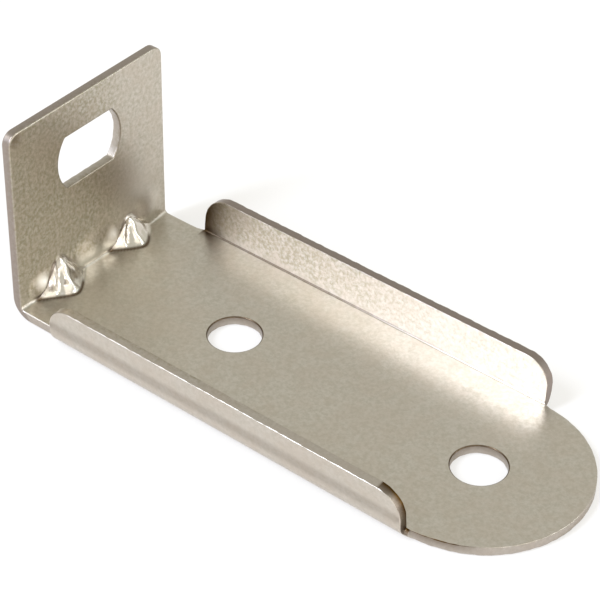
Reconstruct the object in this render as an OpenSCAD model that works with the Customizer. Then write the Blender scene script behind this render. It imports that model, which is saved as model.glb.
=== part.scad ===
// Mounting bracket: one strip of nickel-plated sheet steel, folded up at one end into
// a slotted tab, with a low flange folded up along each side and a round free end.
// X runs from the tab to the round end, Y across the strip, Z up from the underside.
// The origin is midway between the two screw holes, on the underside of the base.

/* [Sheet] */
// Thickness of the sheet
sheet_t = 1; // [0.8:0.1:1.4]
// Inside radius of the tab's fold
fold_r = 1.2; // [0.6:0.1:1.6]
// Inside radius of the two side folds
side_fold_r = 0.5; // [0.3:0.1:1.2]

/* [Base] */
// Width of the strip that makes the base and the tab
strip_w = 22; // [18:0.5:30]
// From the tab's outer face to the middle of the first screw hole
first_hole_x = 20; // [16:0.5:30]
// Between the middles of the two screw holes
hole_pitch = 30; // [20:0.5:60]
// Diameter of each screw hole
screw_hole_d = 5.5; // [3:0.1:7]

/* [Tab] */
// Height of the tab above the underside of the base
tab_h = 22; // [20:0.5:40]
// Radius of the tab's upper corners
tab_corner_r = 1.3; // [0.5:0.1:3]
// Height of the slot's middle above the underside of the base
slot_z = 15; // [13:0.5:15.5]
// Width of the slot across its round ends
slot_w = 9; // [7:0.1:12]
// Height of the slot between its flats
slot_h = 6; // [4:0.1:6.5]

/* [Side flanges] */
// How far the top of each flange stands out past the strip's edge
flange_out = 1.5; // [1.2:0.1:2.5]
// How far each flange leans outward, in degrees
flange_lean = 4; // [0:0.5:7]
// Height of the flanges above the underside of the base
flange_h = 5.5; // [4:0.1:10]
// From the tab's outer face to the near end of each flange
flange_start_x = 6.3; // [5.5:0.1:12]
// Radius of the flanges' upper corners
flange_corner_r = 3; // [1:0.1:5]
// Radius where the strip's edge runs out into a flange
notch_r = 0.4; // [0.2:0.1:0.8]

/* [Gusset darts] */
// Between the ridges of the two darts
dart_pitch = 10.8; // [8:0.1:11]
// Width of a dart at the fold
dart_w = 6.4; // [5:0.1:7]
// How far a dart's ridge climbs the tab, from the inner corner of the fold
dart_rise = 3.4; // [2.5:0.1:4.5]
// How far a dart's ridge runs out along the base, from the inner corner of the fold
dart_run = 2.6; // [2.2:0.1:3.5]
// Radius of a dart's ridge
dart_ridge_r = 1.2; // [0.4:0.1:1.6]

/* [Hidden] */
$fn = 96;
nickel = [0.74, 0.70, 0.64];
// Let a cut run this far past the sheet
cut_past = 1;
// Outside radii of the tab's fold and of the side folds
fold_outer_r = fold_r + sheet_t;
side_outer_r = side_fold_r + sheet_t;
half_strip = strip_w / 2;
second_hole_x = first_hole_x + hole_pitch;
// The flanges end where the round end begins, in line with the second screw hole
flange_end_x = second_hole_x;
// Height of a flange's flat part, along its slope
flange_flat = (flange_h - side_outer_r + side_fold_r * sin(flange_lean)) / cos(flange_lean);
flange_reach = side_outer_r * cos(flange_lean) + flange_flat * sin(flange_lean);
// The floor between the flanges is flat as far as the start of each side fold, to a
// hundredth of a millimetre, so that the edges that meet there meet exactly
floor_half_w = round(100 * (half_strip + flange_out - flange_reach)) / 100;
// A corner can't reach down into the fold below it
flange_corner = min(flange_corner_r, flange_flat);
pattern_x = first_hole_x + hole_pitch / 2;

// Slope of a dart's ridge, and how far the ridge stands off the inner corner of the fold
ridge_len = sqrt(dart_rise * dart_rise + dart_run * dart_run);
ridge_tilt = atan2(dart_rise, dart_run);
ridge_off = dart_rise * dart_run / ridge_len;
// Half the angle between a dart's two flanks
flank_angle = atan2(dart_w / 2, ridge_off);
// The recess behind a dart follows its flanks one sheet thickness away
recess_drop = sheet_t / sin(flank_angle);
recess_ridge_r = max(dart_ridge_r - sheet_t, 0.2);

// Section of a fold, with its centre at the origin. It turns from straight down
// towards +X, and stops short of the quarter by the lean in degrees.
module fold_section(inner_r, lean) {
    reach = 2 * (inner_r + sheet_t);
    intersection() {
        difference() {
            circle(r = inner_r + sheet_t);
            circle(r = inner_r);
        }
        polygon([[0, 0], [0, -reach], [reach, -reach], [reach, -reach * tan(lean)]]);
    }
}

// Section of a side fold and the leaning flat that goes on from it
module flange_section() {
    fold_section(side_fold_r, flange_lean);
    rotate(-flange_lean)
        translate([side_fold_r, 0])
            square([sheet_t, flange_flat]);
}

// What is cut off to round the upper corner of a plate, with the corner at the origin.
// The plate goes on from the corner towards +X or -X.
module corner_waste(corner_r, towards) {
    difference() {
        translate([towards > 0 ? -cut_past : -corner_r, -corner_r])
            square(corner_r + cut_past);
        translate([towards * corner_r, -corner_r])
            circle(r = corner_r);
    }
}

// Plan of the flat base: neck, floor between the flanges, and round end
module base_outline() {
    translate([fold_outer_r, -half_strip])
        square([flange_start_x - fold_outer_r, strip_w]);
    translate([fold_outer_r, -floor_half_w])
        square([flange_end_x - fold_outer_r, 2 * floor_half_w]);
    intersection() {
        translate([second_hole_x, 0])
            circle(r = half_strip);
        translate([flange_end_x, -strip_w])
            square([strip_w, 2 * strip_w]);
    }
}

module base_plate() {
    linear_extrude(sheet_t)
        base_outline();
}

module tab_fold() {
    translate([fold_outer_r, -half_strip, fold_outer_r])
        rotate([90, 0, 180])
            linear_extrude(strip_w)
                fold_section(fold_r, 0);
}

// Flat of the tab, with two round upper corners
module tab_plate() {
    translate([0, 0, fold_outer_r])
        rotate([90, 0, 90])
            linear_extrude(sheet_t)
                difference() {
                    translate([-half_strip, 0])
                        square([strip_w, tab_h - fold_outer_r]);
                    for (side = [-1, 1])
                        translate([side * half_strip, tab_h - fold_outer_r])
                            corner_waste(tab_corner_r, -side);
                }
}

// Fold along the far side of the base, between two places along X
module side_fold(from_x, to_x) {
    translate([from_x, floor_half_w, side_outer_r])
        rotate([90, 0, 90])
            linear_extrude(to_x - from_x)
                fold_section(side_fold_r, flange_lean);
}

// Small web in the corner where the strip's edge meets a flange's end, on the far side.
// It points towards +X where the flange starts and towards -X where it ends.
module notch_web(x, towards) {
    intersection() {
        side_fold(x - 2 * notch_r, x + 2 * notch_r);
        translate([x, half_strip, 0])
            linear_extrude(side_outer_r)
                difference() {
                    translate([-notch_r, -half_strip])
                        square([2 * notch_r, half_strip + notch_r]);
                    translate([-towards * notch_r, notch_r])
                        circle(r = notch_r);
                }
    }
}

// Cut that rounds a flange's upper corner, on the far side
module flange_corner_cut(x, towards) {
    translate([x, floor_half_w, side_outer_r])
        rotate([90 - flange_lean, 0, 0])
            translate([0, flange_flat, -2 * side_outer_r])
                linear_extrude(4 * side_outer_r)
                    corner_waste(flange_corner, towards);
}

// Flange along the far side of the base
module side_flange() {
    difference() {
        translate([flange_start_x, floor_half_w, side_outer_r])
            rotate([90, 0, 90])
                linear_extrude(flange_end_x - flange_start_x)
                    flange_section();
        flange_corner_cut(flange_start_x, 1);
        flange_corner_cut(flange_end_x, -1);
    }
    notch_web(flange_start_x, 1);
    notch_web(flange_end_x, -1);
}

// Section of a dart across its ridge: two straight flanks and a round top at the origin
module dart_section(ridge_r, depth) {
    centre_y = -ridge_r / sin(flank_angle);
    touch_x = ridge_r * cos(flank_angle);
    touch_y = centre_y + ridge_r * sin(flank_angle);
    foot_x = depth * tan(flank_angle);
    translate([0, centre_y])
        circle(r = ridge_r);
    polygon([[-touch_x, touch_y], [touch_x, touch_y], [foot_x, -depth], [-foot_x, -depth]]);
}

// Bar of dart section, laid along the slope from the tab down to the base.
// drop sets its ridge that far below the dart's own ridge, towards the fold.
module dart_bar(y, drop, ridge_r, depth) {
    translate([sheet_t, y, sheet_t + dart_rise])
        rotate([0, ridge_tilt, 0])
            translate([-ridge_len, 0, -drop])
                rotate([90, 0, 90])
                    linear_extrude(3 * ridge_len)
                        dart_section(ridge_r, depth);
}

// Everything inside the outer skin of the tab's fold
module inside_skin() {
    reach = 3 * (dart_rise + dart_run);
    translate([0, half_strip, 0])
        rotate([90, 0, 0])
            linear_extrude(strip_w)
                union() {
                    translate([fold_outer_r, fold_outer_r])
                        circle(r = fold_outer_r);
                    translate([fold_outer_r, 0])
                        square(reach);
                    translate([0, fold_outer_r])
                        square(reach);
                }
}

module dart_ridge(y) {
    intersection() {
        dart_bar(y, 0, dart_ridge_r, ridge_off);
        inside_skin();
    }
}

module dart_recess(y) {
    dart_bar(y, recess_drop, recess_ridge_r, 2 * ridge_len);
}

module screw_holes() {
    for (x = [first_hole_x, second_hole_x])
        translate([x, 0, -cut_past])
            cylinder(d = screw_hole_d, h = sheet_t + 2 * cut_past);
}

// Round hole with two flats, cut through the tab
module tab_slot() {
    translate([-cut_past, 0, slot_z])
        rotate([90, 0, 90])
            linear_extrude(sheet_t + 2 * cut_past)
                intersection() {
                    circle(d = slot_w);
                    square([slot_w, slot_h], center = true);
                }
}

module bracket() {
    color(nickel)
        translate([-pattern_x, 0, 0])
            difference() {
                union() {
                    base_plate();
                    tab_fold();
                    tab_plate();
                    side_flange();
                    mirror([0, 1, 0])
                        side_flange();
                    for (side = [-1, 1])
                        dart_ridge(side * dart_pitch / 2);
                }
                screw_holes();
                tab_slot();
                for (side = [-1, 1])
                    dart_recess(side * dart_pitch / 2);
            }
}

bracket();
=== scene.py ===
"""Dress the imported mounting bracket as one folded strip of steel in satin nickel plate.

The sheet is drawn as its flat blank, with rounded sheared edges all round. It is then folded
along the tab and along the sides, and the two gusset darts are pressed across the tab's fold.
"""

import logging
from dataclasses import dataclass
from enum import Enum

import bpy
import numpy as np
from mathutils import Matrix, Vector
from mathutils.geometry import delaunay_2d_cdt


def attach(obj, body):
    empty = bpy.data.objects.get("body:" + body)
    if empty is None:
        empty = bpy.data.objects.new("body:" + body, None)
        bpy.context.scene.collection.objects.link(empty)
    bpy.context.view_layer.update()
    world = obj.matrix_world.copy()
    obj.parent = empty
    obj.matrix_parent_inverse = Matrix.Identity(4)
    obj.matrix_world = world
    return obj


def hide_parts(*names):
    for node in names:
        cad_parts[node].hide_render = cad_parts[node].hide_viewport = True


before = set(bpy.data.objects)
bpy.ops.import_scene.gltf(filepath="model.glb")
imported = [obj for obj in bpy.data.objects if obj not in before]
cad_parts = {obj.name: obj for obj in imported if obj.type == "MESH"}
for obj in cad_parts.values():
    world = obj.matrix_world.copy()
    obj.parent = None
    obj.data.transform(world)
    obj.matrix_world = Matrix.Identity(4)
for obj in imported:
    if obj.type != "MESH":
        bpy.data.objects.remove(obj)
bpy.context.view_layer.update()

LOG = logging.getLogger("bracket")
MM = 0.001
FRAME_PX = 600
# Two points or heights that lie closer than this, in millimetres, are the same
SAME = 1e-6


def linear(hex_colour: str) -> tuple[float, float, float, float]:
    """Turn an sRGB hex colour into Blender's linear one.

    Args:
        hex_colour: six hex digits after a hash.

    Returns:
        Red, green, blue and alpha, linear.
    """
    parts = (int(hex_colour[i : i + 2], 16) / 255 for i in (1, 3, 5))
    r, g, b = (c / 12.92 if c <= 0.04045 else ((c + 0.055) / 1.055) ** 2.4 for c in parts)
    return r, g, b, 1.0


def add_node(tree: bpy.types.NodeTree, kind: str, settings: dict | None = None,
             **links: object) -> bpy.types.Node:
    """Add a node with its settings, its values and its links.

    Args:
        tree: the node tree that it goes into.
        kind: Blender's name of the node type.
        settings: properties of the node by name, and values of its inputs by number or name.
        links: output sockets that feed its inputs, by input name with underscores for spaces,
            or by the letter i and the input's number.

    Returns:
        The new node.
    """
    node = tree.nodes.new(kind)
    for key, value in (settings or {}).items():
        if isinstance(key, str) and hasattr(node, key):
            setattr(node, key, value)
        else:
            node.inputs[key].default_value = value
    for key, socket in links.items():
        target = int(key[1:]) if key[0] == "i" and key[1:].isdigit() else key.replace("_", " ")
        tree.links.new(socket, node.inputs[target])
    return node


def ramp(value: np.ndarray, start: float | np.ndarray, end: float | np.ndarray) -> np.ndarray:
    """Rise evenly from 0 at the start to 1 at the end. The end may be the lower of the two."""
    return np.clip((value - start) / (end - start), 0, 1)


class Side(Enum):
    """The two long sides of the strip."""

    NEAR = -1
    FAR = 1


class Trace(Enum):
    """What its making leaves on the sheet, and where light and shade are painted on it, as a
    share from 0 to 1 at each point of the mesh.
    """

    WORKED = "worked"
    PRESSED = "pressed"
    # Painted light and painted highlight
    PAINTED_LIGHT = "painted_light"
    # The cut edges' grey, partly painted shade
    SHEARED_AND_SHADE = "sheared_and_shade"
    # Painted shade
    CREASE = "painted_shade"


@dataclass(frozen=True)
class SatinNickel:
    """Nickel plated on rolled mild steel: a warm grey metal with a satin, slightly uneven skin.

    The plate follows the steel's rolled skin, which the press drags and roughens where the
    sheet is folded up. The flat base stays smoother.
    """

    name: str = "satin_nickel_plate"
    clean: str = "#C6BFB5"
    dull: str = "#A09985"
    # Painted highlight and painted light: paler beside, between and on the darts, and in soft
    # places on the tab
    painted_light_tint: str = "#ECE7DD"
    # The cut edges are greyer: partly the sheared steel's own grey, partly painted shade
    sheared_and_shade: str = "#877A73"
    # The bath leaves broad, faint clouds of a warmer grey
    cloud: str = "#BCAFA0"
    cloud_share: float = 0.3
    # Painted shade: dark in the folds' inner corners, round the darts' feet, on cut edges, in
    # corners and in a band outside the side folds
    painted_shade: str = "#46300F"
    roughness: float = 0.36
    worked_roughness: float = 0.33
    # The tool's nose burnishes the darts
    pressed_roughness: float = 0.20
    roughness_spread: float = 0.05
    # The real skin's grain is about 0.05 mm, and is drawn as coarse as it needs to show
    cloud_mm: float = 2.2
    mottle_mm: float = 0.42
    grain_mm: float = 0.2
    mottle_height_mm: float = 0.021
    grain_height_mm: float = 0.006
    noise_detail: float = 3.0
    noise_roughness: float = 0.68
    # The part of the noise's range that the colour, the clouds and the gloss use
    mottle_range: tuple[float, float] = (0.36, 0.64)
    cloud_range: tuple[float, float] = (0.4, 0.6)
    gloss_range: tuple[float, float] = (0.3, 0.7)
    # How dull worked skin is, and how much that changes from spot to spot
    dull_share: float = 0.62
    dull_spread: float = 1.15

    def material(self) -> bpy.types.Material:
        """Build the node material.

        Returns:
            The material.
        """
        made = bpy.data.materials.new(self.name)
        made.use_nodes = True
        tree = made.node_tree
        tree.nodes.clear()
        place = add_node(tree, "ShaderNodeTexCoord").outputs["Object"]
        cloud, mottle, grain = (
            add_node(tree, "ShaderNodeTexNoise",
                     {"Scale": 1 / (size * MM), "Detail": self.noise_detail,
                      "Roughness": self.noise_roughness}, Vector=place).outputs["Fac"]
            for size in (self.cloud_mm, self.mottle_mm, self.grain_mm))
        traces = {trace: add_node(tree, "ShaderNodeAttribute",
                                  {"attribute_name": trace.value}).outputs["Fac"]
                  for trace in Trace}
        shader = add_node(
            tree, "ShaderNodeBsdfPrincipled", {"Metallic": 1.0},
            Base_Color=self.colour(tree, cloud, mottle, traces),
            Roughness=self.gloss(tree, mottle, traces),
            Normal=self.relief(tree, mottle, grain, traces[Trace.WORKED]))
        add_node(tree, "ShaderNodeOutputMaterial", Surface=shader.outputs["BSDF"])
        return made

    def colour(self, tree: bpy.types.NodeTree, cloud: bpy.types.NodeSocket,
               mottle: bpy.types.NodeSocket,
               traces: dict[Trace, bpy.types.NodeSocket]) -> bpy.types.NodeSocket:
        """Mix the plate's colour.

        Args:
            tree: the material's nodes.
            cloud: the broad noise.
            mottle: the middling noise.
            traces: what the sheet's making has left on it, and where light and shade are painted.

        Returns:
            The socket that gives the colour.
        """
        low, high = self.mottle_range
        spread = add_node(tree, "ShaderNodeMapRange",
                          {"From Min": low, "From Max": high, "To Min": -0.5, "To Max": 0.5},
                          Value=mottle)
        spots = add_node(tree, "ShaderNodeMath",
                         {"operation": "MULTIPLY_ADD", 1: self.dull_spread, 2: self.dull_share},
                         i0=spread.outputs["Result"])
        patch = add_node(tree, "ShaderNodeMath", {"operation": "MULTIPLY"},
                         i0=spots.outputs["Value"], i1=traces[Trace.WORKED])
        low, high = self.cloud_range
        veil = add_node(tree, "ShaderNodeMapRange",
                        {"From Min": low, "From Max": high, "To Max": self.cloud_share},
                        Value=cloud)
        mixed = add_node(tree, "ShaderNodeMix",
                         {"data_type": "RGBA", 6: linear(self.clean), 7: linear(self.dull)},
                         i0=patch.outputs["Value"]).outputs[2]
        # The coats after the clouds are painted light, the cut edges' grey with painted shade,
        # and painted shade
        for shade, share in ((self.cloud, veil.outputs["Result"]),
                             (self.painted_light_tint, traces[Trace.PAINTED_LIGHT]),
                             (self.sheared_and_shade, traces[Trace.SHEARED_AND_SHADE]),
                             (self.painted_shade, traces[Trace.CREASE])):
            mixed = add_node(tree, "ShaderNodeMix", {"data_type": "RGBA", 7: linear(shade)},
                             i0=share, i6=mixed).outputs[2]
        return mixed

    def gloss(self, tree: bpy.types.NodeTree, mottle: bpy.types.NodeSocket,
              traces: dict[Trace, bpy.types.NodeSocket]) -> bpy.types.NodeSocket:
        """Work out the plate's roughness.

        Args:
            tree: the material's nodes.
            mottle: the middling noise.
            traces: what the sheet's making has left on it.

        Returns:
            The socket that gives the roughness.
        """
        low, high = self.gloss_range
        skin = add_node(tree, "ShaderNodeMapRange",
                        {"To Min": self.roughness, "To Max": self.worked_roughness},
                        Value=traces[Trace.WORKED])
        uneven = add_node(tree, "ShaderNodeMapRange",
                          {"From Min": low, "From Max": high, "To Min": -self.roughness_spread,
                           "To Max": self.roughness_spread}, Value=mottle)
        satin = add_node(tree, "ShaderNodeMath", {"operation": "ADD"},
                         i0=skin.outputs["Result"], i1=uneven.outputs["Result"])
        return add_node(tree, "ShaderNodeMix", {3: self.pressed_roughness},
                        i0=traces[Trace.PRESSED], i2=satin.outputs["Value"]).outputs[0]

    def relief(self, tree: bpy.types.NodeTree, mottle: bpy.types.NodeSocket,
               grain: bpy.types.NodeSocket,
               worked: bpy.types.NodeSocket) -> bpy.types.NodeSocket:
        """Raise the mottle where the skin is worked, and the fine grain everywhere.

        Args:
            tree: the material's nodes.
            mottle: the middling noise.
            grain: the fine noise.
            worked: how much the press has worked the skin.

        Returns:
            The socket that gives the bumped normal.
        """
        lift = add_node(tree, "ShaderNodeMath", {"operation": "MULTIPLY"}, i0=mottle, i1=worked)
        coarse = add_node(tree, "ShaderNodeBump",
                          {"Strength": 1.0, "Distance": self.mottle_height_mm * MM},
                          Height=lift.outputs["Value"])
        return add_node(tree, "ShaderNodeBump",
                        {"Strength": 1.0, "Distance": self.grain_height_mm * MM},
                        Height=grain, Normal=coarse.outputs["Normal"]).outputs["Normal"]


@dataclass(frozen=True)
class MattBoard:
    """Matt white paper board, lit from behind a little, like a light table.

    Uncoated board scatters light evenly, so it shows the bracket's soft shadow and no gloss.
    """

    name: str = "matt_white_board"
    colour: str = "#E6E1DA"
    roughness: float = 0.9
    specular: float = 0.1
    # Share of white glow where it is seen straight, and where the metal mirrors it
    glow: float = 0.6
    mirrored_glow: float = 0.22

    def material(self) -> bpy.types.Material:
        """Build the node material.

        Returns:
            The material.
        """
        made = bpy.data.materials.new(self.name)
        made.use_nodes = True
        tree = made.node_tree
        shader = tree.nodes["Principled BSDF"]
        shader.inputs["Base Color"].default_value = linear(self.colour)
        shader.inputs["Roughness"].default_value = self.roughness
        shader.inputs["Specular IOR Level"].default_value = self.specular
        seen = add_node(tree, "ShaderNodeLightPath")
        straight = add_node(tree, "ShaderNodeMath", {"operation": "MULTIPLY", 1: self.glow},
                            i0=seen.outputs["Is Camera Ray"])
        share = add_node(tree, "ShaderNodeMath",
                         {"operation": "MULTIPLY_ADD", 1: self.mirrored_glow},
                         i0=seen.outputs["Is Glossy Ray"], i2=straight.outputs["Value"])
        light = add_node(tree, "ShaderNodeEmission",
                         {"Color": linear("#FFFFFF"), "Strength": 1.0})
        mixed = add_node(tree, "ShaderNodeMixShader", i0=share.outputs["Value"],
                         i1=shader.outputs["BSDF"], i2=light.outputs["Emission"])
        surface = tree.nodes["Material Output"].inputs["Surface"]
        tree.links.new(mixed.outputs["Shader"], surface)
        return made


@dataclass(frozen=True)
class FlangeEnd:
    """How a flange stops beside the round end. Sizes are in millimetres."""

    # Where it stops, from the tab's outer face, and the radius of its upper corner
    x: float
    corner_r: float
    # Radius where its edge runs out beside it, and the length that the fold takes to flatten
    flare_r: float
    ease: float


@dataclass(frozen=True)
class Dart:
    """One gusset dart, pressed through the tab's fold from behind. Sizes are in millimetres.

    It is worked out from the inner corner of the fold: out along the base and up the tab.
    """

    # Its middle across the strip, its height on the tab, its length on the base, and its width
    middle: float
    rise: float
    run: float
    half_w: float
    # The foot narrows like a spire up the tab, and evenly along the base
    spire: float = 1.3
    # Its back is a little hollow: 1 would be straight
    hollow: float = 0.88
    ridge_r: float = 0.8
    foot_r: float = 0.07
    # Share of its width over which the foot's radius fades out at its sides
    side_fade: float = 0.15
    # The sheet buckles into a small valley beside the ridge, on the near side
    valley_share: float = 0.5
    valley_w: float = 0.34
    valley_depth: float = 0.26
    # It runs out near the tip, and where the dart is lower than this
    valley_fade: float = 0.3
    valley_from: float = 0.8
    # The press leaves the dart uneven, and less so where it is lower than this
    dent: float = 0.045
    dent_from: float = 0.6
    # Painted shade: a dark line round the foot
    line_at: float = 0.1
    line_half_w: float = 0.34
    line_strength: float = 1.2
    line_most: float = 0.9
    # On the base, up to this height, it runs to a share of the width, and fades out there
    base_top: float = 0.1
    line_reach: float = 0.7
    line_fade: float = 0.6
    # Up the tab it shows on the near side only, so far from the ridge, and weaker
    line_side_share: float = 0.8
    line_side_from: float = 0.5
    # It stops a little before the dart's sides
    line_ends: float = 0.96

    @property
    def way(self) -> tuple[float, float]:
        """Direction of the press, square to the dart's slope: its parts out and up."""
        slope = np.hypot(self.rise, self.run)
        return self.rise / slope, self.run / slope

    def away(self, v: np.ndarray) -> np.ndarray:
        """How far each point lies from the ridge: 0 on it, and 1 where the dart ends."""
        return (np.hypot(v - self.middle, self.ridge_r) - self.ridge_r) / self.half_w

    def gap(self, out: np.ndarray, up: np.ndarray, v: np.ndarray) -> np.ndarray:
        """How far the dart's back stands off the unpressed sheet, by halving.

        Args:
            out: way out on the base.
            up: way up the tab.
            v: across the strip.

        Returns:
            The distance along the way of the press, below 0 beyond the foot.
        """
        reach, most_share, halvings = 3.0, 9, 26
        narrowed = np.clip(1 - self.away(v), 1e-3, None)
        foot_out, foot_up = self.run * narrowed, self.rise * narrowed**self.spire
        way_out, way_up = self.way
        low, high = np.full_like(v, -reach), np.full_like(v, reach)
        for _ in range(halvings):
            gap = (low + high) / 2
            out_share = np.clip((out + gap * way_out) / foot_out, 0, most_share)
            up_share = np.clip((up + gap * way_up) / foot_up, 0, most_share)
            is_past = out_share**self.hollow + up_share**self.hollow > 1
            low, high = np.where(is_past, low, gap), np.where(is_past, gap, high)
        return gap

    def lift(self, out: np.ndarray, up: np.ndarray, v: np.ndarray) -> np.ndarray:
        """How far the press lifts the sheet.

        Args:
            out: way out on the base.
            up: way up the tab.
            v: across the strip.

        Returns:
            The distance along the way of the press.
        """
        away, gap = self.away(v), self.gap(out, up, v)
        # The foot's radius is never quite 0, so that the lift runs out smoothly
        foot = self.foot_r * ramp(away, 1, 1 - self.side_fade) + 1e-5
        lift = 0.5 * (gap + np.hypot(gap, foot))
        # The press leaves the sheet beyond the foot as it was
        lift *= np.clip(2 + gap / (2 * foot), 0, 1) * (away < 1)
        level = np.clip((up + gap * self.way[1]) / self.rise, 0, 1)
        beside = self.valley_share * self.half_w * (1 - level)
        valley = np.exp(-((v - self.middle + beside) / self.valley_w) ** 2)
        valley *= ramp(lift, 0, self.valley_from) * ramp(level, 1, 1 - self.valley_fade)
        lift -= self.valley_depth * valley
        # Waves that don't repeat within a dart stand for chance
        dents = np.sin(4.3 * (v - self.middle) + 2.2 * level + 0.8) * np.sin(7.5 * level - 0.9)
        dents += 0.5 * np.sin(9.1 * level + 3.7 * v)
        return lift + self.dent * dents * ramp(lift, 0, self.dent_from)

    def foot_shade(self, out: np.ndarray, up: np.ndarray, v: np.ndarray) -> np.ndarray:
        """How much shade is painted in the line round the dart's foot.

        Args:
            out: way out on the base.
            up: way up the tab.
            v: across the strip.

        Returns:
            A share from 0 to 1.
        """
        off = np.abs(self.gap(out, up, v) - self.line_at) / self.line_half_w
        line = np.clip(self.line_strength * (1 - off), 0, self.line_most)
        last = self.middle + self.line_reach * self.half_w
        on_base = ramp(v, last, last - self.line_fade)
        on_tab = self.line_side_share * (v < self.middle - self.line_side_from)
        line *= np.where(up < self.base_top, on_base, on_tab)
        return (self.away(v) < self.line_ends) * line


@dataclass(frozen=True)
class Pull:
    """Where the pull of the press lifts the tab's sheet a little. Sizes are in millimetres."""

    # Its middle across the strip, how far it spreads each way, how high it goes, and its lift
    middle: float
    half_w: float
    height: float
    most: float

    def lift(self, up: np.ndarray, v: np.ndarray) -> np.ndarray:
        """How far it lifts each point: most at a third of its height.

        Args:
            up: way up the tab.
            v: across the strip.

        Returns:
            The lift along X.
        """
        level = np.clip(up / self.height, 0, 1)
        across = np.clip(1 - ((v - self.middle) / self.half_w) ** 2, 0, None) ** 2
        return self.most * across * (27 / 4) * level * (1 - level) ** 2


@dataclass(frozen=True)
class PaintedLightSpot:
    """A soft place on the tab painted paler: painted light."""

    # Its middle across the strip and its height in millimetres, its spread in square
    # millimetres, and how pale it is
    middle: float
    height: float
    spread: float
    share: float

    def paleness(self, up: np.ndarray, v: np.ndarray) -> np.ndarray:
        """How pale it leaves each point, by its way up the tab and across the strip."""
        off = (v - self.middle) ** 2 + (up - self.height) ** 2
        return self.share * np.exp(-off / self.spread)


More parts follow.
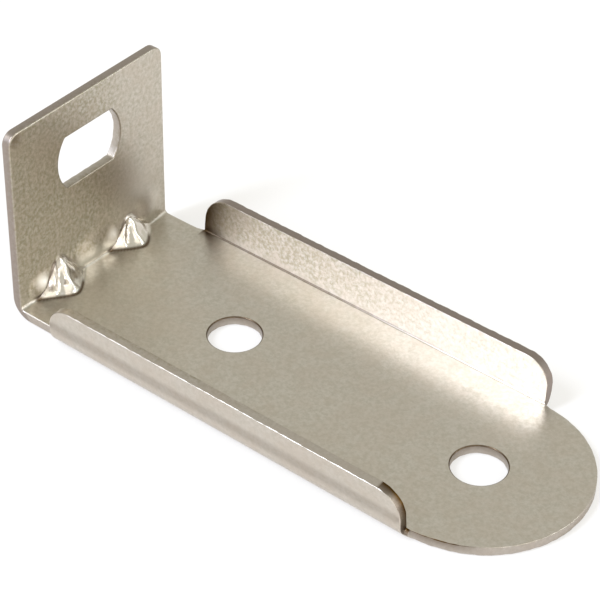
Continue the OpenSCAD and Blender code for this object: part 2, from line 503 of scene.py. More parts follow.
@dataclass(frozen=True)
class Bracket:
    """The whole bracket: base, tab, side flanges and gusset darts, in one folded sheet.

    Sizes are in millimetres. X is measured from the tab's outer face while the sheet is
    drawn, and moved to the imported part's frame at the end. The blank lies in u, along the
    strip, and v, across it, and w goes through it from the outer skin at 0 to the inner skin.
    """

    sheet_t: float = 1.0
    fold_r: float = 1.2
    strip_w: float = 22.0
    first_hole_x: float = 20.0
    hole_pitch: float = 30.0
    screw_hole_d: float = 5.5
    tab_h: float = 22.0
    tab_corner_r: float = 1.3
    slot_z: float = 15.0
    slot_w: float = 9.0
    slot_h: float = 6.0
    flange_out: float = 1.5
    flange_h: float = 5.5
    flange_start_x: float = 6.3
    flange_corner_r: float = 3.0
    # The flanges are folded tighter than the tab, and spring back outward a little
    side_r: float = 1.0
    flange_lean: float = 4.0
    # The tool's nose presses a sharper corner into the inside of each fold
    tab_crease_r: float = 0.4
    side_crease_r: float = 0.2
    # The strip is cropped by worn tools, so the two flanges don't stop alike
    near_end: FlangeEnd = FlangeEnd(50.0, 2.8, 1.2, 2.6)
    far_end: FlangeEnd = FlangeEnd(49.7, 2.7, 0.4, 1.0)
    notch_r: float = 0.4
    # Radii of the cut edges: on the inner skin of the tab, at the holes and elsewhere, and on
    # the outer skin of the tab and elsewhere
    tab_rim_r: float = 0.18
    hole_rim_r: float = 0.15
    inner_rim_r: float = 0.10
    tab_outer_rim_r: float = 0.105
    outer_rim_r: float = 0.15
    least_wear: float = 0.25
    darts: tuple[Dart, ...] = (Dart(-5.3, 3.65, 2.6, 3.2), Dart(5.05, 2.9, 2.5, 2.85))
    # The press pulls the sheet up most round the darts, and a little between and beside them
    pulls: tuple[Pull, ...] = (
        Pull(-5.3, 4.4, 3.1, 0.58), Pull(5.05, 4.4, 3.1, 0.48), Pull(-0.2, 3.0, 4.2, 0.42),
        Pull(8.6, 2.6, 5.0, 0.34), Pull(-8.0, 1.8, 2.9, 0.3), Pull(2.4, 1.8, 2.9, 0.3))
    # They fade to this share where a dart lifts the sheet itself, and so fast with its lift
    least_pull: float = 0.2
    pull_fade: float = 3.0
    # Spacing of the mesh's points: on the flats, at the folds, at the side folds, at the
    # darts, and along the cut edges
    cell: float = 0.6
    fold_cell: float = 0.22
    side_cell: float = 0.12
    dart_cell: float = 0.12
    rim_cell: float = 0.25
    # An arc has at least so many steps, and one for each so many degrees
    arc_steps: int = 4
    arc_degrees: float = 9.0
    # The fine points at the tab's fold reach so far up the tab, along the base and sideways
    fine_up: float = 4.0
    fine_out: float = 3.0
    fine_half_w: float = 9.9

    @property
    def outer_r(self) -> float:
        """Outside radius of the tab's fold."""
        return self.fold_r + self.sheet_t

    @property
    def arc(self) -> float:
        """Length of blank that the tab's fold takes, along the middle of the sheet."""
        return np.pi / 2 * (self.fold_r + self.sheet_t / 2)

    @property
    def half(self) -> float:
        """Half the strip's width."""
        return self.strip_w / 2

    @property
    def side_outer_r(self) -> float:
        """Outside radius of the side folds."""
        return self.side_r + self.sheet_t

    @property
    def side_turn(self) -> float:
        """How far the side folds turn, in radians."""
        return np.radians(90 - self.flange_lean)

    @property
    def side_arc(self) -> float:
        """Length of blank that a side fold takes."""
        return self.side_turn * (self.side_r + self.sheet_t / 2)

    @property
    def flange_flat(self) -> float:
        """Height of a flange's flat part, along its slope."""
        lean = np.radians(self.flange_lean)
        return (self.flange_h - self.side_outer_r + self.side_r * np.sin(lean)) / np.cos(lean)

    @property
    def fold_v(self) -> float:
        """Where the side folds start, from the middle of the strip."""
        lean = np.radians(self.flange_lean)
        reach = self.side_outer_r * np.cos(lean) + self.flange_flat * np.sin(lean)
        return self.half + self.flange_out - reach

    @property
    def second_hole_x(self) -> float:
        """Middle of the second hole, where the round end begins."""
        return self.first_hole_x + self.hole_pitch

    @property
    def top_u(self) -> float:
        """The tab's upper edge in the blank."""
        return self.outer_r - self.arc - (self.tab_h - self.outer_r)

    @property
    def flange_v(self) -> float:
        """The flanges' upper edge in the blank."""
        return self.fold_v + self.side_arc + self.flange_flat

    @property
    def frame_x(self) -> float:
        """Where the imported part's origin lies: midway between the screw holes."""
        return self.first_hole_x + self.hole_pitch / 2

    def bend(self, along: np.ndarray, w: np.ndarray, outer_r: float, crease_r: float,
             turn: float) -> tuple[np.ndarray, np.ndarray]:
        """Section of a fold in the sheet.

        Args:
            along: way along the middle of the sheet, from where the fold starts.
            w: through the sheet.
            outer_r: radius of the outer skin.
            crease_r: radius of the inner skin.
            turn: how far it turns, in radians.

        Returns:
            How far on and how high up each point lies.
        """
        mid_r = outer_r - self.sheet_t / 2
        ring = outer_r - w * (outer_r - crease_r) / self.sheet_t
        # A tighter skin starts its turn later, and the first millimetre of the flats beside it
        # stretches to meet it
        shift = np.tan(turn / 2) * (outer_r - w - ring)
        angle = np.clip(along / mid_r, 0, turn)
        before = np.clip(along, None, 0)
        after = np.clip(along - turn * mid_r, 0, None)
        after = after + shift * np.clip(after, 0, 1)
        on = before + shift * np.clip(1 + before, 0, 1)
        on = on + ring * np.sin(angle) + after * np.cos(turn)
        up = w + ring * (1 - np.cos(angle)) + after * np.sin(turn)
        return on, up

    def folded(self, u: np.ndarray, v: np.ndarray, w: np.ndarray) -> np.ndarray:
        """Fold points of the blank into the bracket.

        Args:
            u: along the strip.
            v: across the strip.
            w: through the sheet.

        Returns:
            One row of X, Y and Z for each point.
        """
        on, z = self.bend(self.outer_r - u, w, self.outer_r, self.tab_crease_r, np.pi / 2)
        lift, way_x, way_z = self.pressed(u, v)
        pull_share = np.clip(1 - self.pull_fade * lift, self.least_pull, 1)
        x = self.outer_r - on + lift * way_x + self.pulled(u, v) * pull_share
        z = z + lift * way_z
        # The flanges fold up fully between their ends, and draw the strip's edge up beside them
        end = np.where(v < 0, self.near_end.x, self.far_end.x)
        ease = np.where(v < 0, self.near_end.ease, self.far_end.ease)
        along = ramp(u, self.flange_start_x - 1, self.flange_start_x) * ramp(u, end + ease, end)
        along = along * along * (3 - 2 * along) * (u > self.outer_r)
        out = np.abs(v)
        on, up = self.bend(out - self.fold_v, w, self.side_outer_r, self.side_crease_r,
                           self.side_turn)
        y = (out + (self.fold_v + on - out) * along) * np.sign(v)
        return np.stack([x, y, z + (up - w) * along], axis=-1)

    def corner_place(self, u: np.ndarray) -> tuple[np.ndarray, np.ndarray]:
        """Where points of the inner skin lie, from the inner corner of the tab's fold.

        Args:
            u: along the strip.

        Returns:
            How far out on the base, and how high up the tab.
        """
        on, up = self.bend(self.outer_r - u, np.full_like(u, self.sheet_t), self.outer_r,
                           self.tab_crease_r, np.pi / 2)
        return self.outer_r - on - self.sheet_t, up - self.sheet_t

    def pulled(self, u: np.ndarray, v: np.ndarray) -> np.ndarray:
        """How far the pull of the press lifts the tab, along X."""
        up = self.corner_place(u)[1]
        return sum(pull.lift(up, v) for pull in self.pulls)

    def pressed(self, u: np.ndarray, v: np.ndarray) -> tuple[np.ndarray, np.ndarray, np.ndarray]:
        """How far each point is pressed in by a dart, and in which direction.

        Args:
            u: along the strip.
            v: across the strip.

        Returns:
            The lift, and the X and Z parts of its direction.
        """
        out, up = self.corner_place(u)
        lift, way_x, way_z = (np.zeros_like(u) for _ in range(3))
        for dart in self.darts:
            lift = lift + dart.lift(out, up, v)
            on_dart = dart.away(v) < 1
            way_x = np.where(on_dart, dart.way[0], way_x)
            way_z = np.where(on_dart, dart.way[1], way_z)
        return lift, way_x, way_z

    def arc_points(self, centre: tuple[float, float], radius: float, start: float,
                   end: float) -> list[np.ndarray]:
        """Points along an arc of the blank's outline.

        Args:
            centre: its centre.
            radius: its radius.
            start: angle of its first point in degrees.
            end: angle of its last point.

        Returns:
            The points, both ends included.
        """
        length = abs(np.radians(end - start)) * radius
        count = max(self.arc_steps, int(np.ceil(length / self.rim_cell)),
                    int(abs(end - start) / self.arc_degrees))
        angles = np.radians(np.linspace(start, end, count + 1))
        return [np.array(centre) + radius * np.array([np.cos(t), np.sin(t)]) for t in angles]

    def closed(self, points: list[np.ndarray]) -> np.ndarray:
        """Fill the straight stretches of a closed outline with points, and drop doubles.

        Args:
            points: its corners and arc points in order.

        Returns:
            One row for each point.
        """
        rows: list[np.ndarray] = []
        for i, here in enumerate(points):
            there = points[(i + 1) % len(points)]
            gap = float(np.linalg.norm(there - here))
            if gap < SAME:
                continue
            steps = max(1, int(round(gap / self.rim_cell)))
            rows += [here + (there - here) * k / steps for k in range(steps)]
        return np.array(rows)

    def outline(self) -> np.ndarray:
        """The blank's outer edge.

        Returns:
            One row for each point, with the metal on its left.
        """
        near, far = ([point * (1, side.value) for point in self.half_outline(side)]
                     for side in Side)
        return self.closed(far + near[::-1])

    def half_outline(self, side: Side) -> list[np.ndarray]:
        """One side of the blank's outer edge, drawn on the far side.

        Args:
            side: whose flange it has.

        Returns:
            Its corners and arc points, from the round end to the tab's top.
        """
        r, c, k = self.notch_r, self.tab_corner_r, self.flange_corner_r
        top, start, middle = self.top_u, self.flange_start_x, self.second_hole_x
        edge = self.flange_v
        end = self.near_end if side is Side.NEAR else self.far_end
        # The flare beside the flange touches the round end, or the straight edge before it
        flare_x = end.x + end.flare_r
        past = max(flare_x - middle, 0)
        flare_v = np.sqrt((self.half + end.flare_r) ** 2 - past**2)
        touch = np.degrees(np.arctan2(flare_v, past))
        corner = (end.x - end.corner_r, edge - end.corner_r)
        points = self.arc_points((middle, 0), self.half, 0, touch)
        points += self.arc_points((flare_x, flare_v), end.flare_r, 180 + touch, 180)
        points += self.arc_points(corner, end.corner_r, 0, 90)
        points += self.arc_points((start + k, edge - k), k, 90, 180)
        points += self.arc_points((start - r, self.half + r), r, 0, -90)
        points += self.arc_points((top + c, self.half - c), c, 90, 180)
        return points

    def wear(self, loop: np.ndarray) -> np.ndarray:
        """How far the tumbling has worn a cut edge, which is uneven along it.

        Args:
            loop: the outline's points.

        Returns:
            A share up to 1 for each point.
        """
        way = np.cumsum(np.linalg.norm(loop - np.roll(loop, 1, axis=0), axis=1))
        # Waves of unlike lengths stand for chance
        waves = np.sin(way * 4.1) + np.sin(way * 2.3 + 1.3) + np.sin(way * 6.7 + 0.4)
        waves += np.sin(way * 0.9)
        return self.least_wear + (1 - self.least_wear) * np.clip(0.5 + waves / 4, 0, 1)

    def rim_radii(self, loop: np.ndarray, is_hole: bool) -> tuple[np.ndarray, np.ndarray]:
        """Radii of a cut edge.

        Args:
            loop: the outline's points.
            is_hole: whether it bounds a hole.

        Returns:
            Radius on the inner skin and on the outer skin at each point.
        """
        worn = self.wear(loop)
        if is_hole:
            return np.full(len(loop), self.hole_rim_r), self.outer_rim_r * worn
        tab = ramp(loop[:, 0], self.flange_start_x, self.flange_start_x - 2)
        return (self.inner_rim_r * worn * (1 - tab) + self.tab_rim_r * tab,
                self.outer_rim_r * worn * (1 - tab) + self.tab_outer_rim_r * tab)

    def holes(self) -> list[np.ndarray]:
        """The two screw holes and the tab's slot.

        Returns:
            The points of each, with the metal on their left.
        """
        loops = []
        for x in (self.first_hole_x, self.second_hole_x):
            loops.append(self.closed(self.arc_points((x, 0), self.screw_hole_d / 2, 360, 0)[:-1]))
        middle = (self.outer_r - self.arc - (self.slot_z - self.outer_r), 0)
        radius, flat = self.slot_w / 2, self.slot_h / 2
        tip = np.degrees(np.arcsin(flat / radius))
        slot = self.arc_points(middle, radius, 90 + tip, 90 - tip)
        slot += self.arc_points(middle, radius, -90 + tip, -90 - tip)
        loops.append(self.closed(slot))
        return loops

    def lattice(self) -> np.ndarray:
        """Points of the skin, close together at the folds and closest at the darts.

        Returns:
            One row for each point of the blank, also where it lies outside the metal.
        """
        def lines(stops: list[float], steps: list[float]) -> np.ndarray:
            """Divide each stretch between two stops into even steps.

            Args:
                stops: where the stretches begin and end.
                steps: about how long each stretch's steps are.

            Returns:
                The places of the lines.
            """
            found: list[float] = []
            for low, high, step in zip(stops[:-1], stops[1:], steps):
                count = max(1, int(round((high - low) / step)))
                found += list(low + (high - low) * np.arange(count) / count)
            return np.array(found + [stops[-1]])

        def crossings(us: np.ndarray, vs: np.ndarray) -> np.ndarray:
            """Every crossing of two sets of lines, one row for each."""
            return np.stack(np.meshgrid(us, vs, indexing="ij"), -1).reshape(-1, 2)

        bend = self.outer_r - self.arc
        fine_low, fine_high = bend - self.fine_up, self.outer_r + self.fine_out
        start, middle = self.flange_start_x, self.second_hole_x
        us = lines([self.top_u, fine_low, bend, self.outer_r, fine_high, start - 1, start,
                    middle, middle + 1, middle + self.half],
                   [self.cell] + 5 * [self.fold_cell] + [self.cell, self.fold_cell, self.cell])
        half = lines([0, self.fold_v, self.fold_v + self.side_arc, self.flange_v],
                     [self.cell, self.side_cell, self.cell])
        grid = crossings(us, np.concatenate([-half[:0:-1], half]))
        is_fine = ((grid[:, 0] > fine_low) & (grid[:, 0] < fine_high)
                   & (np.abs(grid[:, 1]) < self.fine_half_w))
        small = crossings(lines([fine_low, fine_high], [self.dart_cell]),
                          lines([-self.fine_half_w, self.fine_half_w], [self.dart_cell]))
        return np.concatenate([grid[~is_fine], small])


@dataclass(frozen=True)
class SkinTracesAndPaintedLight:
    """What the press and the shear leave on the bracket's skin, and where light and shade are
    painted on it.

    Each share runs from 0 to 1. Lengths are in millimetres.
    """

    bracket: Bracket
    # How worked the inner skin of the base is, and the outer skin everywhere
    base_share: float = 0.36
    outer_share: float = 0.22
    # The inner skin gets more worked as it is folded up, from one height to the other
    worked_up: tuple[float, float] = (1.0, 2.5)
    # The tab comes out smoother towards its far edge, and the flanges towards the round end
    far_loss: float = 0.45
    far_from: tuple[float, float] = (1.5, 5.0)
    end_loss: float = 0.55
    end_from: tuple[float, float] = (20.0, 38.0)
    # The skin is drawn smoother where light is painted and where the darts are pressed
    painted_light_smoothing: float = 0.8
    # The darts are painted paler too, as painted highlight, and fully pressed where they stand a
    # quarter millimetre high
    dart_painted_highlight: float = 0.4
    pressed_gain: float = 4.0
    # Painted highlight: a pale spot beside each dart on its near side, and painted light in a
    # band between them
    spot_beside: float = 2.7
    spot_height: float = 1.9
    spot_half_w: float = 1.0
    spot_half_h: float = 1.2
    spot_strength: float = 1.3
    band_share: float = 0.9
    band_sides: tuple[float, float] = (3.4, 2.4)
    band_top: tuple[float, float] = (2.2, 0.8)
    tab_foot: float = 0.2
    # Painted light: soft places on the tab painted paler
    painted_light_spots: tuple[PaintedLightSpot, ...] = (
        PaintedLightSpot(8.6, 2.6, 2.2, 0.25), PaintedLightSpot(6.3, 5.6, 8.0, 0.36))
    # Painted shade: the inside of a side fold is dark, and less so towards the round end
    fold_share: float = 0.75
    fold_inside: tuple[float, float] = (0.1, 0.9)
    fold_fade: tuple[float, float] = (46.0, 24.0)
    # Painted shade: dark brown in the corner where each flange starts
    flange_start_shade_share: float = 0.98
    flange_start_shade_reach: float = 2.9
    flange_start_shade_fade: float = 2.6
    flange_start_shade_width: float = 0.3
    flange_start_shade_before: float = 0.1
    # A smaller dark spot in the tab's near upper corner
    corner_share: float = 0.7
    corner_down: float = 0.7
    corner_in: float = 0.9
    # Painted shade: a dark band along the outside, just above each side fold
    outer_band_shade: float = 0.42
    outer_band_height: float = 2.9
    outer_band_width: float = 0.42
    # Painted shade: dark along the inner edge of the screw holes, and of the slot a little
    hole_rim_shade: float = 0.9
    slot_rim_shade: float = 0.3
    # It does so beside the near flange too, where its shade sets in over these degrees round
    # the strip's end
    rim_shade_turn: tuple[float, float] = (50.0, 65.0)
    # Painted shade: dark on the cut end of the near flange
    crop_above: float = 0.3
    crop_length: float = 2.6
    # The tab's edge and the far flange's are greyer still: partly the sheared edge, partly
    # painted shade
    torn_share: float = 0.3
    tab_edge_shade: float = 0.75
    far_flange_edge_shade: float = 0.9
    torn_above: float = 0.2
    # How far down a cut edge each of these reaches, row by row from the inner skin
    rim_shade_rows: tuple[float, ...] = (1.0, 1.0, 0.9, 0.5, 0.0)
    end_shade_rows: tuple[float, ...] = (0.0, 0.0, 0.0, 0.55, 0.55)
    torn_rows: tuple[float, ...] = (0.0, 0.3, 0.8, 1.0, 1.0, 0.8, 0.3, 0.0)

    def painted_light(self, u: np.ndarray, v: np.ndarray) -> np.ndarray:
        """Where light is painted on the tab: paler spots and a band.

        Args:
            u: along the strip.
            v: across the strip.

        Returns:
            A share for each point.
        """
        up = self.bracket.corner_place(u)[1]
        pale = sum(spot.paleness(up, v) for spot in self.painted_light_spots)
        for dart in self.bracket.darts:
            off = np.hypot((v - dart.middle + self.spot_beside) / self.spot_half_w,
                           (up - self.spot_height) / self.spot_half_h)
            pale = np.maximum(pale, np.clip(self.spot_strength * (1 - off), 0, 1))
        band = self.band_share * ramp(np.abs(v), *self.band_sides) * ramp(up, *self.band_top)
        return np.maximum(pale, band) * (up > self.tab_foot)

    def worked(self, spot: np.ndarray, height: np.ndarray) -> np.ndarray:
        """How much the press has worked the skin: most on the inside of what it folds up.

        Args:
            spot: points of the blank.
            height: how high they stand in the folded bracket.

        Returns:
            A share for each point.
        """
        u, v, w = spot.T
        is_inner = w > 0.5 * self.bracket.sheet_t
        start = np.where(is_inner, self.base_share, self.outer_share)
        most = 1 - self.far_loss * ramp(v, *self.far_from) * (u < self.bracket.outer_r)
        most = most - self.end_loss * ramp(u, *self.end_from)
        return start + (most - start) * ramp(height, *self.worked_up) * is_inner

    def painted_shades(self, u: np.ndarray, v: np.ndarray, w: np.ndarray) -> np.ndarray:
        """Where shade is painted on the two skins: inside the side folds, round the darts' feet,
        in corners, and in a band outside.

        Args:
            u: along the strip.
            v: across the strip.
            w: through the sheet.

        Returns:
            A share for each point.
        """
        b = self.bracket
        way = (np.abs(v) - b.fold_v) / b.side_arc
        low, high = self.fold_inside
        fade = ramp(u, *self.fold_fade) * ramp(u, b.flange_start_x, b.flange_start_x + 1)
        crease_shade = self.fold_share * ((way > low) & (way < high)) * fade
        out, up = b.corner_place(u)
        for dart in b.darts:
            crease_shade = np.maximum(crease_shade, dart.foot_shade(out, up, v))
        # Painted shade in the corner where each flange starts
        flange_start_shade_end = b.flange_start_x + self.flange_start_shade_reach
        flange_start_shade = ramp(u, flange_start_shade_end, flange_start_shade_end - self.flange_start_shade_fade) * ramp(way, -self.flange_start_shade_width, 0)
        flange_start_shade = self.flange_start_shade_share * flange_start_shade * (u > b.flange_start_x - self.flange_start_shade_before)
        corner = np.hypot(u - b.top_u - self.corner_down, v + b.half - self.corner_in)
        corner = self.corner_share * np.clip(1 - corner, 0, 1)
        dark = np.maximum(crease_shade, np.maximum(flange_start_shade, corner))
        # Painted shade: a dark band on the outer skin of the flanges
        height = np.abs(v) - b.fold_v - b.side_arc + b.side_outer_r
        dull = self.outer_band_shade * np.exp(-(((height - self.outer_band_height) / self.outer_band_width) ** 2))
        return np.where(w > 0.5 * b.sheet_t, dark * (w > b.sheet_t - SAME),
                        dull * (u > b.flange_start_x) * (w < SAME))

    def rim_shade(self, loop: np.ndarray, index: int) -> np.ndarray:
        """How much shade is painted on the inner edge of an outline.

        Args:
            loop: the outline's points.
            index: its number: 0 round the strip, 1 and 2 at the screw holes, 3 at the slot.

        Returns:
            A share for each point.
        """
        if index:
            share = self.hole_rim_shade if index < 3 else self.slot_rim_shade
            return np.full(len(loop), share)
        b = self.bracket
        turn = -np.degrees(np.arctan2(loop[:, 1], loop[:, 0] - b.second_hole_x))
        return ramp(turn, *self.rim_shade_turn) * (loop[:, 0] > b.near_end.x - b.near_end.corner_r)

    def torn_and_shaded(self, loop: np.ndarray, index: int) -> np.ndarray:
        """How grey the edge of an outline is: the sheared edge's own grey, with painted shade on
        the tab and the far flange.

        Args:
            loop: the outline's points.
            index: its number, 0 round the strip.

        Returns:
            A share for each point.
        """
        if index:
            return np.full(len(loop), self.torn_share)
        share = np.where(loop[:, 0] < self.bracket.outer_r, self.tab_edge_shade, self.torn_share)
        is_far_flange = loop[:, 1] > self.bracket.half + self.torn_above
        return np.where(is_far_flange, self.far_flange_edge_shade, share)

    def cropped(self, edge: np.ndarray) -> np.ndarray:
        """Which points of the cut edge lie on the near flange's end.

        Args:
            edge: points of the outlines.

        Returns:
            True for each point that does.
        """
        b = self.bracket
        return ((edge[:, 1] < -b.half - self.crop_above)
                & (edge[:, 0] > b.near_end.x - self.crop_length))

    def at(self, spot: np.ndarray, height: np.ndarray, loops: list[np.ndarray],
           first: int) -> dict[Trace, np.ndarray]:
        """Work out every trace at each point of the mesh.

        Args:
            spot: points of the blank.
            height: how high they stand in the folded bracket.
            loops: the cut edges.
            first: number of the first point on a cut edge between the skins. They stand in
                rows, each of them once round all the loops.

        Returns:
            One share for each point, by trace.
        """
        u, v, w = spot.T
        edge = np.concatenate(loops)
        starts = first + len(edge) * np.arange(len(self.torn_rows))
        dark, torn_and_shaded = self.painted_shades(u, v, w), np.zeros(len(spot))
        rim_shade = np.concatenate([self.rim_shade(loop, i) for i, loop in enumerate(loops)])
        cropped = self.cropped(edge)
        # Painted shade on the cut edges
        for start, rim_shade_share, end_shade_share in zip(starts, self.rim_shade_rows, self.end_shade_rows):
            dark[start : start + len(edge)] = rim_shade_share * rim_shade + end_shade_share * cropped
        sheared_and_shade = np.concatenate([self.torn_and_shaded(loop, i) for i, loop in enumerate(loops)])
        # The cut edges' grey, partly painted shade
        for start, share in zip(starts, self.torn_rows):
            torn_and_shaded[start : start + len(edge)] = share * sheared_and_shade
        on_inner = w > self.bracket.sheet_t - SAME
        pressed = np.clip(self.pressed_gain * self.bracket.pressed(u, v)[0], 0, 1) * on_inner
        # Painted light on the tab, and painted highlight on the darts
        painted_light = self.painted_light(u, v) * on_inner * (1 - pressed) + self.dart_painted_highlight * pressed
        worked = self.worked(spot, height)
        worked *= 1 - self.painted_light_smoothing * np.maximum(pressed, painted_light)
        return {Trace.WORKED: worked, Trace.PRESSED: pressed, Trace.PAINTED_LIGHT: painted_light,
                Trace.SHEARED_AND_SHADE: torn_and_shaded, Trace.CREASE: dark}


def inside(points: np.ndarray, loop: np.ndarray) -> np.ndarray:
    """Which points lie inside a closed outline.

    Args:
        points: one row for each point.
        loop: one row for each corner of the outline.

    Returns:
        True for each point inside.
    """
    odd = np.zeros(len(points), bool)
    for a, b in zip(loop, np.roll(loop, -1, axis=0)):
        cross = (a[1] > points[:, 1]) != (b[1] > points[:, 1])
        if cross.any():
            at = a[0] + (points[:, 1] - a[1]) * (b[0] - a[0]) / (b[1] - a[1])
            odd ^= cross & (points[:, 0] < at)
    return odd


def in_metal(points: np.ndarray, loops: list[np.ndarray]) -> np.ndarray:
    """Which points lie inside the first outline and outside the others.

    Args:
        points: one row for each point.
        loops: the outlines.

    Returns:
        True for each point in the metal.
    """
    found = inside(points, loops[0])
    for loop in loops[1:]:
        found &= ~inside(points, loop)
    return found


def clearance(points: np.ndarray, loop: np.ndarray) -> np.ndarray:
    """Distance from each point to an outline that is sampled closely.

    Args:
        points: one row for each point.
        loop: one row for each corner of the outline.

    Returns:
        The distance to the nearest corner.
    """
    best = np.full(len(points), np.inf)
    for a in loop:
        np.minimum(best, np.hypot(points[:, 0] - a[0], points[:, 1] - a[1]), out=best)
    return best


def outward(loop: np.ndarray) -> np.ndarray:
    """Unit normals of an outline, pointing away from the metal.

    Args:
        loop: one row for each corner of the outline, with the metal on its left.

    Returns:
        One row for each corner.
    """
    along = np.roll(loop, -1, axis=0) - np.roll(loop, 1, axis=0)
    normal = np.stack([along[:, 1], -along[:, 0]], -1)
    return normal / np.linalg.norm(normal, axis=1, keepdims=True)


@dataclass(frozen=True)
class SheetMesh:
    """Turns a bracket's blank into one closed mesh with rounded sheared edges."""

    bracket: Bracket
    traces: SkinTracesAndPaintedLight
    rim_rows: int = 4
    # Points of the skin keep this share of the edge's spacing clear of it
    clear_share: float = 0.6
    # The mesh is made this much smaller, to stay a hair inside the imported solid
    hair: float = 3e-4

    def profile(self, inner_r: np.ndarray,
                outer_r: np.ndarray) -> list[tuple[np.ndarray, np.ndarray, float, float]]:
        """The rim's section from the inner skin to the outer one.

        Args:
            inner_r: radius of the rim's edge on the inner skin at each point of the outlines.
            outer_r: its radius on the outer skin.

        Returns:
            For each row, how far it is set in, its height through the sheet, and its normal's
            parts outward and up.
        """
        thick = self.bracket.sheet_t
        turns = np.pi / 2 * np.arange(self.rim_rows + 1) / self.rim_rows
        upper = [(inner_r * (1 - np.sin(t)), thick - inner_r * (1 - np.cos(t)), np.sin(t),
                  np.cos(t)) for t in turns]
        lower = [(outer_r * (1 - np.cos(t)), outer_r * (1 - np.sin(t)), np.cos(t), -np.sin(t))
                 for t in turns]
        return upper + lower

    def skin(self, rims: list[np.ndarray]) -> tuple[np.ndarray, np.ndarray]:
        """Fill the blank with triangles.

        Args:
            rims: outlines of its flat part.

        Returns:
            Its corners, those of the rims first, and three corner numbers for each triangle.
        """
        points = self.bracket.lattice()
        points = points[in_metal(points, rims)]
        for rim in rims:
            points = points[clearance(points, rim) > self.clear_share * self.bracket.rim_cell]
        corners = np.concatenate([*rims, points])
        starts = np.cumsum([0] + [len(rim) for rim in rims])
        edges = [(start + i, start + (i + 1) % len(rim))
                 for start, rim in zip(starts, rims) for i in range(len(rim))]
        # Output type 0 gives the whole hull, and the last argument asks for where points went
        found = delaunay_2d_cdt([Vector(p) for p in corners], edges, [], 0, 1e-7, True)
        if not all(found[3]):
            raise RuntimeError("the blank's outlines cross")
        origin = np.array([sources[0] for sources in found[3]])
        triangles = origin[np.array(found[2])]
        triangles = triangles[in_metal(corners[triangles].mean(axis=1), rims)]
        second, third = (corners[triangles[:, i]] - corners[triangles[:, 0]] for i in (1, 2))
        is_down = second[:, 0] * third[:, 1] - second[:, 1] * third[:, 0] < 0
        triangles[is_down] = triangles[is_down][:, ::-1]
        return corners, triangles

    def rim_faces(self, loops: list[np.ndarray], rows: list[int]) -> list[tuple[int, ...]]:
        """Quads between each row of the rims and the next.

        Args:
            loops: the cut edges.
            rows: number of each row's first point.

        Returns:
            Four corner numbers for each quad.
        """
        faces = []
        starts = np.cumsum([0] + [len(loop) for loop in loops])
        for this, following in zip(rows[:-1], rows[1:]):
            for start, loop in zip(starts, loops):
                for i in range(len(loop)):
                    p, q = start + i, start + (i + 1) % len(loop)
                    faces.append((this + p, following + p, following + q, this + q))
        return faces

    def build(self, name: str) -> bpy.types.Object:
        """Make the mesh object.

        Args:
            name: the piece's name.

        Returns:
            The new object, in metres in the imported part's frame.
        """
        b = self.bracket
        loops = [b.outline(), *b.holes()]
        ways = [outward(loop) for loop in loops]
        radii = [b.rim_radii(loop, i > 0) for i, loop in enumerate(loops)]
        rims = [loop - way * inner[:, None] for loop, way, (inner, _) in zip(loops, ways, radii)]
        corners, triangles = self.skin(rims)
        edge, way = np.concatenate(loops), np.concatenate(ways)
        inner_r, outer_r = (np.concatenate(part) for part in zip(*radii))
        count, rim_count = len(corners), len(edge)
        low = corners.copy()
        low[:rim_count] = edge - way * outer_r[:, None]
        # First the inner skin's points, then the outer skin's, then the rims row by row
        spots = [np.column_stack([corners, np.full(count, b.sheet_t)]),
                 np.column_stack([low, np.zeros(count)])]
        normals = [np.tile([0.0, 0.0, 1.0], (count, 1)), np.tile([0.0, 0.0, -1.0], (count, 1))]
        rows = self.profile(inner_r, outer_r)[1:-1]
        for inset, height, out_part, up_part in rows:
            spots.append(np.column_stack([edge - way * inset[:, None], height]))
            normals.append(np.column_stack([way * out_part, np.full(rim_count, up_part)]))
        faces = [tuple(t) for t in triangles] + [tuple(t[::-1] + count) for t in triangles]
        skin_count = len(faces)
        row_starts = [0, *(2 * count + i * rim_count for i in range(len(rows))), count]
        faces += self.rim_faces(loops, row_starts)
        spot = np.concatenate(spots)
        solid = b.folded(*spot.T)
        traces = self.traces.at(spot, solid[:, 2], loops, 2 * count)
        solid[:, 0] -= b.frame_x
        mesh = bpy.data.meshes.new(name)
        mesh.from_pydata((solid * (1 - self.hair) * MM).tolist(), [], faces)
        mesh.validate()
        mesh.polygons.foreach_set("use_smooth", np.ones(len(mesh.polygons), bool))
        bent = self.bent_normals(spot, np.concatenate(normals))
        mesh.normals_split_custom_set_from_vertices(bent.tolist())
        for trace, shares in traces.items():
            mesh.attributes.new(trace.value, "FLOAT", "POINT").data.foreach_set("value", shares)
        made = bpy.data.objects.new(name, mesh)
        bpy.context.scene.collection.objects.link(made)
        LOG.info("%s: %d corners, %d faces, %d of them skin", name, len(spot), len(faces),
                 skin_count)
        return made

    def bent_normals(self, spot: np.ndarray, normal: np.ndarray) -> np.ndarray:
        """Carry the blank's normals through the fold.

        Args:
            spot: points of the blank.
            normal: their normals.

        Returns:
            Unit normals of the folded sheet.
        """
        step = 1e-4
        folded = self.bracket.folded
        du, dv, dw = ((folded(*(spot + move).T) - folded(*(spot - move).T)) / (2 * step)
                      for move in step * np.eye(3))
        turned = (normal[:, :1] * np.cross(dv, dw) + normal[:, 1:2] * np.cross(dw, du)
                  + normal[:, 2:] * np.cross(du, dv))
        return turned / np.linalg.norm(turned, axis=1, keepdims=True)


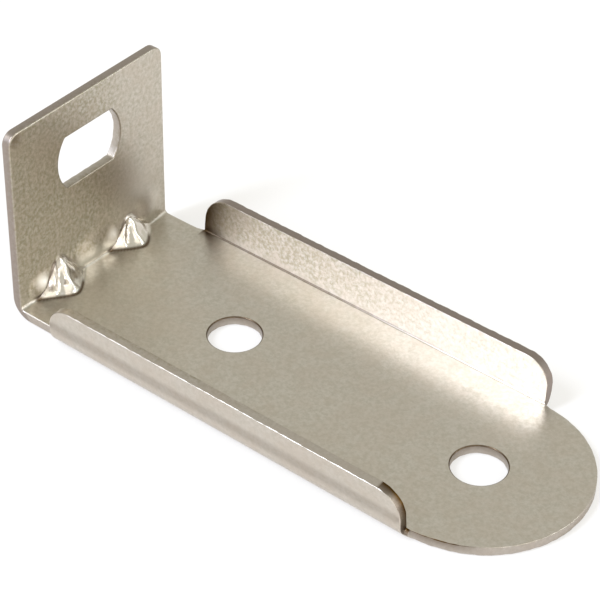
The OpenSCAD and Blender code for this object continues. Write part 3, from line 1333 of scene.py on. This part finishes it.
@dataclass(frozen=True)
class Lamp:
    """One soft rectangular lamp that faces the bracket.

    Azimuth runs from +X towards +Y, in degrees. Sizes are in metres. The level is how bright
    its face looks, where 1 is white.
    """

    name: str
    azimuth: float
    elevation: float
    width: float
    height: float
    level: float
    tint: str
    distance: float = 0.8

    def hang(self) -> bpy.types.Object:
        """Hang the lamp.

        Returns:
            The lamp's object.
        """
        data = bpy.data.lights.new(self.name, "AREA")
        data.shape = "RECTANGLE"
        data.size, data.size_y = self.width, self.height
        data.energy = self.level * np.pi * self.width * self.height
        data.color = linear(self.tint)[:3]
        made = bpy.data.objects.new(self.name, data)
        az, el = np.radians([self.azimuth, self.elevation])
        way = Vector((np.cos(az) * np.cos(el), np.sin(az) * np.cos(el), np.sin(el)))
        made.location = way * self.distance
        made.rotation_euler = way.to_track_quat("Z", "Y").to_euler()
        bpy.context.scene.collection.objects.link(made)
        return made


@dataclass(frozen=True)
class Studio:
    """Pale floor, soft lamps and the camera. Lengths are in metres."""

    world_level: float = 0.81
    world_tint: str = "#FDFDF4"
    lamps: tuple[Lamp, ...] = (
        Lamp("window", 248, 40, 0.16, 0.60, 19.0, "#DAE4FF"),
        Lamp("window_blind", 243, 53, 0.18, 0.22, 14.0, "#DCEBFF"),
        Lamp("window_sill", 235, 32, 0.24, 0.20, 0.9, "#D7EBFF"),
        Lamp("window_side", 222, 44, 0.14, 0.30, 2.8, "#F2EEE6"),
        Lamp("right_wall", 332, 34, 0.56, 0.60, 0.9, "#FFF8EE"),
        Lamp("desk_lamp", 318, 24, 0.17, 0.22, 4.2, "#ECEEFF"),
        Lamp("low_right", 358, 17, 0.20, 0.16, 3.6, "#FBF8FF"),
        Lamp("low_doorway", 28, 12, 0.20, 0.16, 6.0, "#F4F8FF"),
        Lamp("doorway", 26, 36, 0.14, 0.30, 8.0, "#F4FAFF"),
        Lamp("back_right_wall", 48, 36, 0.14, 0.36, 0.6, "#C8F4FF"),
    )
    board: MattBoard = MattBoard()
    floor_size: float = 3.0
    floor_drop: float = 0.0001
    # The camera's place and direction as found from the photo, and its focal length and
    # optical middle in pixels of the frame
    camera_spot: tuple[float, float, float] = (0.105245, -0.140502, 0.152243)
    azimuth: float = 40.0603
    elevation: float = 38.6401
    roll: float = -0.057
    focal_px: float = 2394.28
    middle_px: tuple[float, float] = (250.907, 307.481)
    clip_start: float = 0.01

    def floor(self) -> bpy.types.Object:
        """Lay the floor just under the bracket.

        Returns:
            The floor's object.
        """
        half, z = self.floor_size / 2, -self.floor_drop
        mesh = bpy.data.meshes.new("floor")
        mesh.from_pydata([(-half, -half, z), (half, -half, z), (half, half, z), (-half, half, z)],
                         [], [(0, 1, 2, 3)])
        mesh.materials.append(self.board.material())
        made = bpy.data.objects.new("floor", mesh)
        bpy.context.scene.collection.objects.link(made)
        return made

    def light(self) -> None:
        """Light the room dimly all round, and hang the lamps."""
        world = bpy.data.worlds.new("room")
        world.use_nodes = True
        air = world.node_tree.nodes["Background"]
        air.inputs["Color"].default_value = linear(self.world_tint)
        air.inputs["Strength"].default_value = self.world_level
        bpy.context.scene.world = world
        for lamp in self.lamps:
            lamp.hang()

    def camera(self) -> bpy.types.Object:
        """Place the camera where the photographer's stood.

        Returns:
            The camera.
        """
        az, el, roll = np.radians([self.azimuth, self.elevation, self.roll])
        forward = np.array([-np.sin(az) * np.cos(el), np.cos(az) * np.cos(el), -np.sin(el)])
        right = np.array([np.cos(az), np.sin(az), 0.0])
        down = np.cross(forward, right)
        turned_right = np.cos(roll) * right + np.sin(roll) * down
        turned_down = -np.sin(roll) * right + np.cos(roll) * down
        data = bpy.data.cameras.new("camera")
        data.lens = data.sensor_width * self.focal_px / FRAME_PX
        data.shift_x = (FRAME_PX / 2 - self.middle_px[0]) / FRAME_PX
        data.shift_y = (self.middle_px[1] - FRAME_PX / 2) / FRAME_PX
        data.clip_start = self.clip_start
        made = bpy.data.objects.new("camera", data)
        axes = np.column_stack([turned_right, -turned_down, -forward])
        place = Matrix.Translation(self.camera_spot) @ Matrix(axes.tolist()).to_4x4()
        made.matrix_world = place
        bpy.context.scene.collection.objects.link(made)
        bpy.context.scene.camera = made
        return made


def main() -> None:
    logging.basicConfig(level=logging.INFO, format="%(name)s: %(message)s")
    bpy.context.scene.view_settings.view_transform = "Standard"
    bracket = Bracket()
    piece = SheetMesh(bracket, SkinTracesAndPaintedLight(bracket)).build("bracket_sheet")
    piece.data.materials.append(SatinNickel().material())
    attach(piece, "root")
    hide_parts("bracket")
    studio = Studio()
    studio.floor()
    studio.light()
    studio.camera()


if __name__ == "__main__":
    main()
